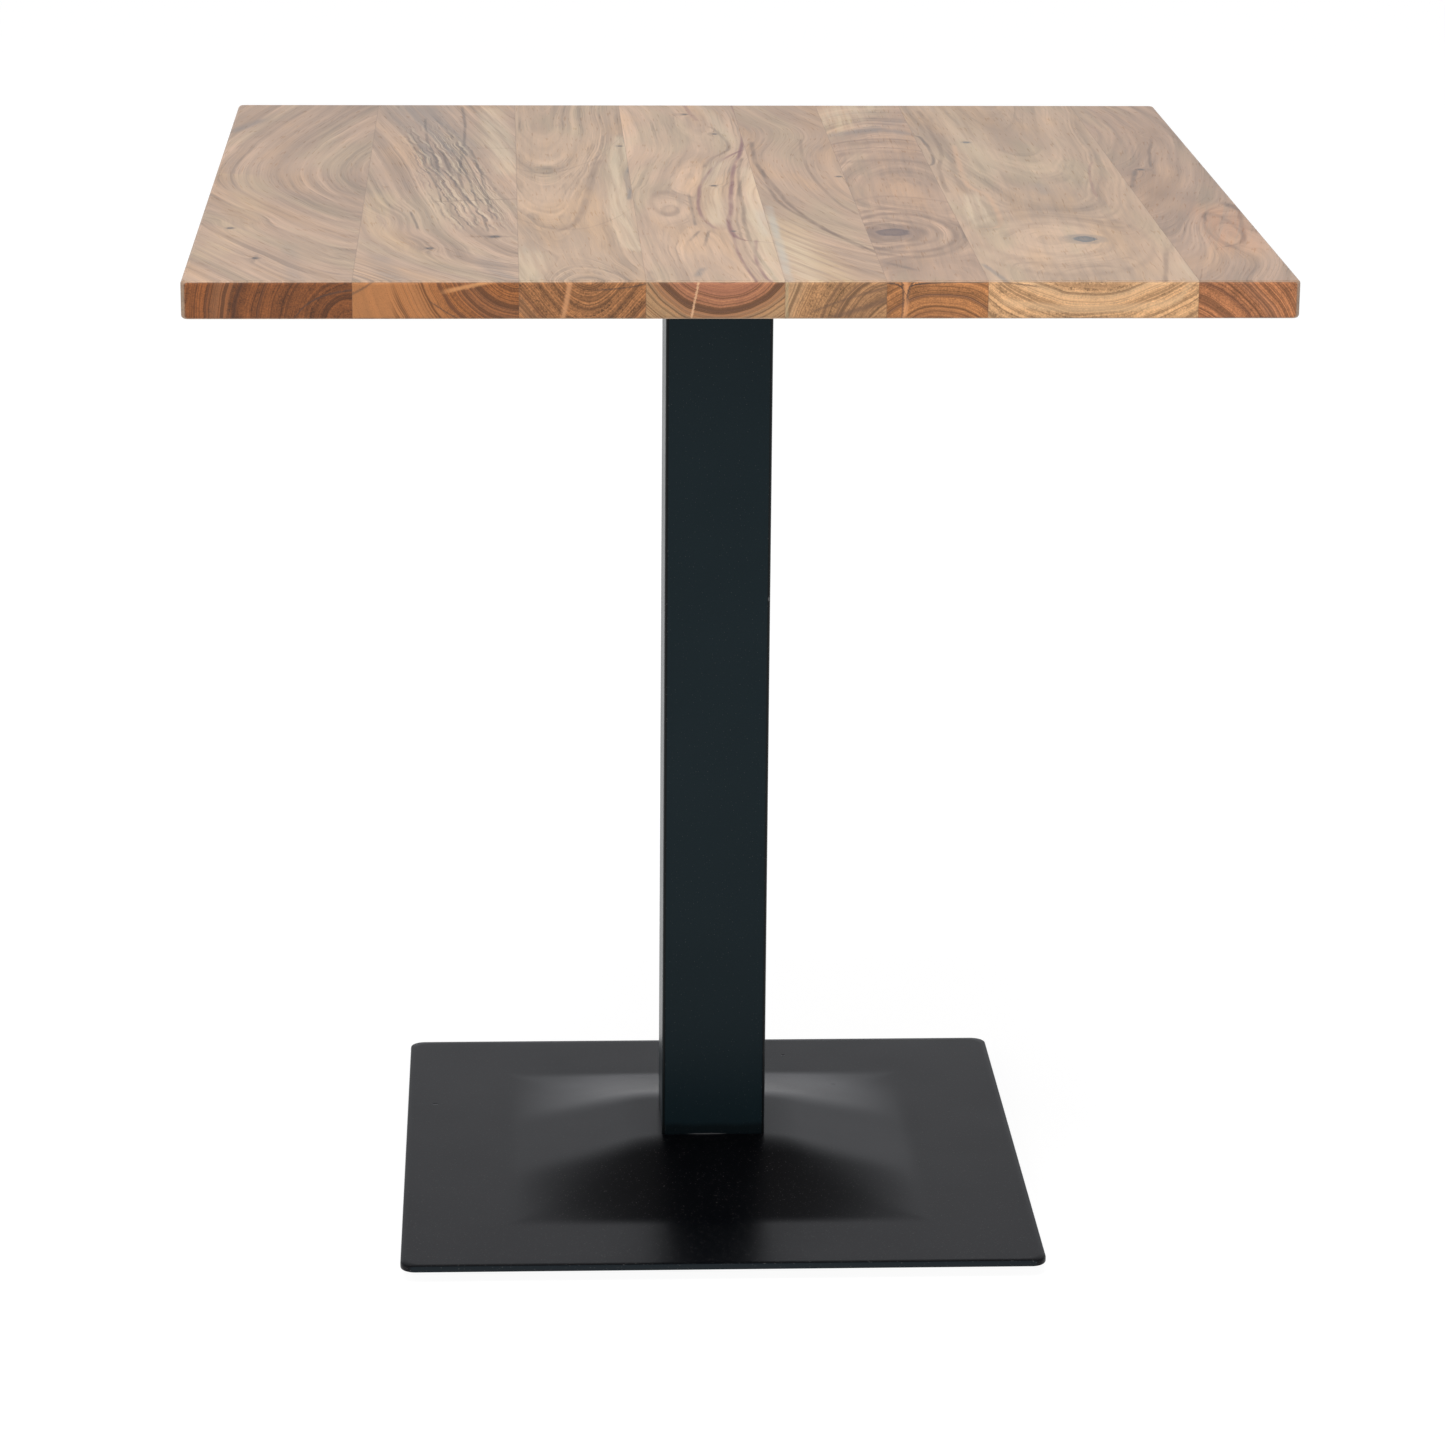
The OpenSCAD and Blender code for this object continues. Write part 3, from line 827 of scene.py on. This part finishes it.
MATERIALS = {
    "black_powder_coat": powder_coat(
        "black_powder_coat", (0.0013, 0.0015, 0.0024), (0.0021, 0.0024, 0.0037), 1.218, base_pits_and_painted_edge_reflection, 0.6
    ),
    "zinc_plated_steel": steel("zinc_plated_steel", (0.66, 0.67, 0.68), 0.3),
    "brass": steel("turned_brass", (0.72, 0.52, 0.24), 0.28),
    "black_nylon": nylon("black_nylon", (0.016, 0.016, 0.017), (0.03, 0.03, 0.031)),
}
FINISHES = {s["node"]: MATERIALS.get(s["material_slot"]) for s in frame["record"]["subparts"]}
FINISHES.update((f"top_stave_{n}", Stave(n).lacquered()) for n in WOOD)
# The column's coat is a lighter, bluer copy of the black powder coat: painted light for the floor's
# reflection on its faces, with painted shade, a painted highlight and real chips from its details
FINISHES["column_tube"] = powder_coat(
    "column_coat_and_painted_light", (0.0042, 0.0125, 0.0165), (0.0068, 0.016, 0.0205), 1.205, column_chips_and_painted_light, 0.25
)
for node, piece in frame["nodes"].items():
    piece.data.materials.clear()
    piece.data.materials.append(FINISHES[node])


# --- Meshes


def closed_mesh(name, verts, faces):
    """A mesh from points in mm, with its faces turned outwards."""
    mesh = bpy.data.meshes.new(name)
    mesh.from_pydata([tuple(c * MM for c in v) for v in verts], [], faces)
    shape = bmesh.new()
    shape.from_mesh(mesh)
    bmesh.ops.recalc_face_normals(shape, faces=shape.faces)
    shape.to_mesh(mesh)
    shape.free()
    return mesh


def smooth(mesh):
    """Smooth shading that leaves edges of more than 34 degrees sharp."""
    mesh.polygons.foreach_set("use_smooth", [True] * len(mesh.polygons))
    mesh.set_sharp_from_angle(angle=math.radians(34))


def add_piece(name, verts, faces, body, slot, *nodes):
    """Gives a mesh the slot's finish, and lets it ride on a body and stand for CAD nodes."""
    mesh = closed_mesh(name, verts, faces)
    piece = put_in_scene(name, mesh)
    mesh.materials.append(MATERIALS[slot])
    smooth(mesh)
    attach(piece, body)
    if nodes:
        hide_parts(*nodes)
    return piece


def carve(piece, verts, faces):
    """Cuts a closed shape, given in mm, out of a piece."""
    tool = put_in_scene("cutter", closed_mesh("cutter", verts, faces))
    cut = piece.modifiers.new("cut", "BOOLEAN")
    cut.operation, cut.solver, cut.object = "DIFFERENCE", "EXACT", tool
    bpy.context.view_layer.update()
    done = bpy.data.meshes.new_from_object(piece.evaluated_get(bpy.context.evaluated_depsgraph_get()))
    piece.modifiers.clear()
    piece.data = done
    smooth(done)
    bpy.data.objects.remove(tool)


def skin(rings, looped=False):
    """Points and faces of a skin over closed rings, joined end to end or closed by flat ends."""
    count = len(rings[0])
    pairs = [(n, (n + 1) % len(rings)) for n in range(len(rings) if looped else len(rings) - 1)]
    faces = [
        (a * count + k, a * count + (k + 1) % count, b * count + (k + 1) % count, b * count + k)
        for a, b in pairs
        for k in range(count)
    ]
    if not looped:
        faces.append(tuple(range(count)))
        faces.append(tuple(range((len(rings) - 1) * count, len(rings) * count)))
    return [p for ring in rings for p in ring], faces


def join(parts):
    """Several (points, faces) pairs as one."""
    verts, faces = [], []
    for more_verts, more_faces in parts:
        start = len(verts)
        verts.extend(more_verts)
        faces.extend(tuple(start + k for k in face) for face in more_faces)
    return verts, faces


def turned(rows, at, steps=48):
    """A turned part: rows of (z, radius) from one end to the other, all in mm. A radius may also be
    a function of the angle and of z."""
    rings = []
    for z, radius in rows:
        ring = []
        for k in range(steps):
            angle = TAU * k / steps
            r = radius(angle, z) if callable(radius) else radius
            ring.append((at[0] + r * math.cos(angle), at[1] + r * math.sin(angle), z))
        rings.append(ring)
    return skin(rings)


def hexagon(across, most=math.inf):
    """The radius of a hexagon of that width across its flats, cut off at a circle."""

    def radius(angle, _):
        off_flat = (angle + math.pi / 6) % (math.pi / 3) - math.pi / 6
        return min(across / 2 / math.cos(off_flat), most)

    return radius


def thread(diameter, pitch, start, end):
    """Rows of a screw thread from start to end, fading in at its start and chamfered at its end."""
    crest = diameter / 2 - 0.05
    root = crest - 0.5 * pitch
    rows_per_turn = 8

    def radius(angle, z):
        turn = ((z - start) / pitch - angle / TAU) % 1.0
        ridge = min(max(1.7 - 3.4 * abs(turn - 0.5), 0.0), 1.0)
        fade = min((z - start) / pitch, (end - z) / (0.9 * pitch), 1.0)
        return root + (crest - root) * ridge * fade

    count = round((end - start) / pitch * rows_per_turn)
    return [(start + (end - start) * n / count, radius) for n in range(count + 1)]


# --- The pressed base plate, in mm

SHEET = 5
CREASE, SHOULDER, RIM_CORNER = 157.5, 54, 11
BOLT_HOLE_R, BOSS_HOLE_R, BOSS_DEPTH = 4.5, 7.05, 3
BOLT_AT, FOOT_AT, HEAD_SCREWS_AT = 22, 190, 180
BOLT_PLACES = [(x * BOLT_AT, y * BOLT_AT) for x in (-1, 1) for y in (-1, 1)]
FOOT_PLACES = [(x * FOOT_AT, y * FOOT_AT) for x, y in ((-1, -1), (1, -1), (1, 1), (-1, 1))]
SCREW_PLACES = [(x * HEAD_SCREWS_AT, y * HEAD_SCREWS_AT) for x in (-1, 0, 1) for y in (-1, 0, 1) if x or y]


def soft_max(a, b, blend):
    """The larger of a and b, with the corner between them rounded over blend."""
    overlap = max(blend - abs(a - b), 0.0) / blend
    return max(a, b) + overlap * overlap * blend / 4


def smoothstep(low, high, value):
    t = min(max((value - low) / (high - low), 0.0), 1.0)
    return t * t * (3 - 2 * t)


def lift(off_centre):
    """From 0 at the crease to 1 over the seat, with a crisp crease and a soft shoulder."""
    up = soft_max((CREASE - abs(off_centre)) / (CREASE - SHOULDER), 0.0, 0.06)
    return -soft_max(-up, -1.0, 0.15)


def press_height(x, y):
    """How far the press has lifted the plate, from 0 to 1: partly a pyramid with rounded ridges,
    partly a stretched sheet, and nearly flat towards the crease's corners."""
    across, along = max(lift(x), 0.001), max(lift(y), 0.001)
    pyramid = (across**-3 + along**-3 - 1) ** (-1 / 3)
    sheet = (across * along) ** 1.3
    slack = smoothstep(50, CREASE, abs(x)) * smoothstep(50, CREASE, abs(y))
    height = (0.6 * pyramid + 0.4 * sheet) * (1 - 0.8 * slack)
    return height * smoothstep(0.0, 0.002, min(lift(x), lift(y)))


def outline(size, edge):
    """Points round the plate where its half side is size: a circle in the seat, then squares whose
    corners tighten towards the crease."""
    spread = min(max((size - SHOULDER) / (CREASE - SHOULDER), 0.0), 1.0)
    corner = size + (RIM_CORNER - size) * spread
    inner = size - corner
    straight, bend = 18, 12
    count = 2 * straight + bend
    flank = edge - RIM_CORNER
    quarter = []
    for k in range(count):
        if k <= straight:
            rim = math.atan2(flank * k / straight, edge)
        elif k < count - straight:
            turn = math.pi / 2 * (k - straight) / bend
            rim = math.atan2(flank + RIM_CORNER * math.sin(turn), flank + RIM_CORNER * math.cos(turn))
        else:
            rim = math.pi / 2 - math.atan2(flank * (count - k) / straight, edge)
        even = math.pi / 2 * k / count
        angle = even + (rim - even) * spread
        c, s = math.cos(angle), math.sin(angle)
        if size * s <= inner * c:
            far = size / c
        elif size * c <= inner * s:
            far = size / s
        else:
            both = inner * (c + s)
            far = both + math.sqrt(max(both * both - 2 * inner * inner + corner * corner, 0.0))
        quarter.append((far * c, far * s))
    points = []
    for _ in range(4):
        points.extend(quarter)
        quarter = [(-y, x) for x, y in quarter]
    return points


def press_base_plate():
    edge, floor, top_face = node_right("base_plate"), node_floor("base_plate"), node_top("base_plate")
    rim_top = floor + SHEET
    rise = top_face - rim_top
    # Half sizes of the rings of points, from the edge to the middle, close together at the crease
    sizes = [edge - 1, edge - 5, 226, 212, 198, 186, 176, 170, 166, 163, 161.5, 160.5, 159.5, 158.5, 157.5]
    sizes += [156.5, 155.5, 154.5, 153] + [151 - 2.5 * n for n in range(43)] + [43, 38, 30, 20, 8]
    top = [[(x, y, rim_top + rise * press_height(x, y)) for x, y in outline(a, edge)] for a in sizes]
    under = [[(x, y, z - SHEET) for x, y, z in ring] for ring in top]
    round_edge = [(edge - 0.3, -0.3), (edge, -1.0), (edge, 1.0 - SHEET), (edge - 0.3, 0.3 - SHEET)]
    side = [[(x, y, rim_top + dz) for x, y in outline(a, edge)] for a, dz in round_edge]
    verts, faces = skin(top[::-1] + side + under)
    plate = add_piece("pressed_base_plate", verts, faces, "table", "black_powder_coat", "base_plate")
    through = [(floor + SHEET + 6.5, BOLT_HOLE_R), (top_face + 7, BOLT_HOLE_R)]
    let_in = [(0, BOSS_HOLE_R), (floor + BOSS_DEPTH, BOSS_HOLE_R)]
    holes = [turned(through, p) for p in BOLT_PLACES] + [turned(let_in, p) for p in FOOT_PLACES]
    carve(plate, *join(holes))


# --- Screws, bolts, welds and feet, in mm

M6, M6_PITCH = 6, 1.0
M8, M8_PITCH = 8, 1.25
# The radius at a thread's root, where the shank meets the head
M6_ROOT, M8_ROOT = 2.45, 3.33
BOLT_FLATS, SOCKET_FLATS = 13, 4
# Welds: (leg of the bead, length of one ripple)
HEAD_WELD, BOSS_WELD = (4.2, 4.4), (1.2, 2.2)
TUBE_CORNER, BOSS_R = 4, 7


def turn_base_bolts():
    """Hexagon bolts from below, their heads chamfered and with a washer face."""
    face, tip = node_floor("base_bolts"), node_top("base_bolts")
    under_head = node_floor("base_lock_washers")
    rows = [(face, 5.7)]
    for up, most in ((0.25, 6.2), (0.6, 6.8), (1.0, 7.25), (1.35, math.inf)):
        rows.append((face + up, hexagon(BOLT_FLATS, most)))
    rows += [(under_head - 0.8, hexagon(BOLT_FLATS)), (under_head - 0.45, hexagon(BOLT_FLATS, 7.2))]
    rows += [(under_head - 0.4, 6.0), (under_head, 6.0), (under_head, M8_ROOT)]
    rows += thread(M8, M8_PITCH, under_head, tip)[1:]
    bolts = [turned(rows, p, 60) for p in BOLT_PLACES]
    add_piece("hex_bolts", *join(bolts), "table", "zinc_plated_steel", "base_bolts")


def turn_top_screws():
    """Screws with a domed head and a hexagon socket in it."""
    face, tip = node_floor("top_screws"), node_top("top_screws")
    under_head = node_floor("top_washers")
    height, head_r, socket_depth = under_head - face, 5.5, 2.2
    dome = (height * height + head_r * head_r) / (2 * height)
    rows = [(face + socket_depth, hexagon(SOCKET_FLATS)), (face + 0.25, hexagon(SOCKET_FLATS))]
    rows += [(face, hexagon(SOCKET_FLATS + 0.4, 2.5)), (face + 0.05, 2.75)]
    for r in (3.2, 3.8, 4.4, 4.9, 5.25):
        rows.append((face + dome - math.sqrt(dome * dome - r * r), r))
    rows += [(under_head - 0.25, head_r), (under_head, head_r - 0.1), (under_head, M6_ROOT)]
    rows += thread(M6, M6_PITCH, under_head, tip)[1:]
    screws = [turned(rows, p) for p in SCREW_PLACES]
    add_piece("button_screws", *join(screws), "table", "zinc_plated_steel", "top_screws")


def bead(path, leg, ripple):
    """A weld bead in the corner between a wall and the plate above it. The path's points are
    (x, y, z, outward x, outward y, distance run)."""
    rings = []
    for x, y, z, nx, ny, run in path:
        swell = leg * (1 + 0.11 * math.cos(TAU * run / ripple))
        section = [(-0.3, 0.3), (swell, 0.3), (swell, -0.05)]
        section += [(swell * math.cos(a) ** 0.8, -swell * math.sin(a) ** 0.8) for a in (0.35, 0.7, 1.05, 1.4)]
        section += [(0.05, -swell), (-0.3, -swell)]
        rings.append([(x + nx * out, y + ny * out, z + up) for out, up in section])
    return skin(rings, looped=True)


def round_path(centre, radius, z, ripple):
    turns = round(TAU * radius / ripple)
    count = turns * 6
    for k in range(count):
        a = TAU * k / count
        yield (centre[0] + radius * math.cos(a), centre[1] + radius * math.sin(a), z,
               math.cos(a), math.sin(a), turns * ripple * k / count)


def square_path(half, corner, z, ripple):
    """Round a square tube: the points of its outline and the way out of each."""
    inner = half - corner
    quarter = [(half, -inner + 2 * inner * k / 96, 1.0, 0.0) for k in range(96)]
    for k in range(12):
        a = math.pi / 2 * k / 12
        quarter.append((inner + corner * math.cos(a), inner + corner * math.sin(a), math.cos(a), math.sin(a)))
    points = []
    for _ in range(4):
        points.extend(quarter)
        quarter = [(-y, x, -ny, nx) for x, y, nx, ny in quarter]
    length = 8 * inner + TAU * corner
    run, path = 0.0, []
    for k, (x, y, nx, ny) in enumerate(points):
        path.append((x, y, z, nx, ny, run * round(length / ripple) * ripple / length))
        ahead = points[(k + 1) % len(points)]
        run += math.hypot(ahead[0] - x, ahead[1] - y)
    return path


def lay_welds():
    leg, ripple = HEAD_WELD
    path = square_path(node_right("column_tube"), TUBE_CORNER, node_floor("mounting_plate"), ripple)
    beads = [bead(path, leg, ripple)]
    leg, ripple = BOSS_WELD
    for place in FOOT_PLACES:
        beads.append(bead(round_path(place, BOSS_R, node_floor("base_plate"), ripple), leg, ripple))
    add_piece("weld_beads", *join(beads), "table", "black_powder_coat")


def pad_grip(angle, _):
    """The radius of a levelling foot's edge, with 24 grooves for the fingers."""
    return 15 - 0.55 * (0.5 + 0.5 * math.cos(24 * angle)) ** 3


def turn_feet():
    # From the middle of the sole, out round the edge and back into the cup that holds the stud
    pad_rows = [
        (0.45, 1.0), (0.45, 3.0), (0, 3.6), (0, 12.4), (0.12, 13.2), (0.5, 14.0), (1.0, 14.5), (1.5, 14.8),
        (1.9, pad_grip), (6.0, pad_grip), (6.5, 14.6), (6.85, 14.3), (7.0, 13.8), (7.0, 9.0), (6.8, 8.6),
        (6.4, 8.5), (3.2, 8.5), (3.2, 4.05), (2.25, 4.05), (2.25, 6.05), (1.15, 6.05), (1.15, 1.0),
    ]
    for n, place in enumerate(FOOT_PLACES, 1):
        stud, pad = f"foot_stud_{n}", f"foot_pad_{n}"
        low = node_floor(stud)
        rows = [(low, 5.8), (low + 0.2, 6.0), (low + 0.8, 6.0), (low + 1, 5.8), (low + 1, M8_ROOT)]
        rows += thread(M8, M8_PITCH, low + 1, node_top(stud))[1:]
        add_piece(f"threaded_stud_{n}", *turned(rows, place), f"foot_{n}_stud", "zinc_plated_steel", stud)
        add_piece(f"ribbed_pad_{n}", *turned(pad_rows, place, 144), f"foot_{n}_pad", "black_nylon", pad)


press_base_plate()
turn_base_bolts()
turn_top_screws()
lay_welds()
turn_feet()
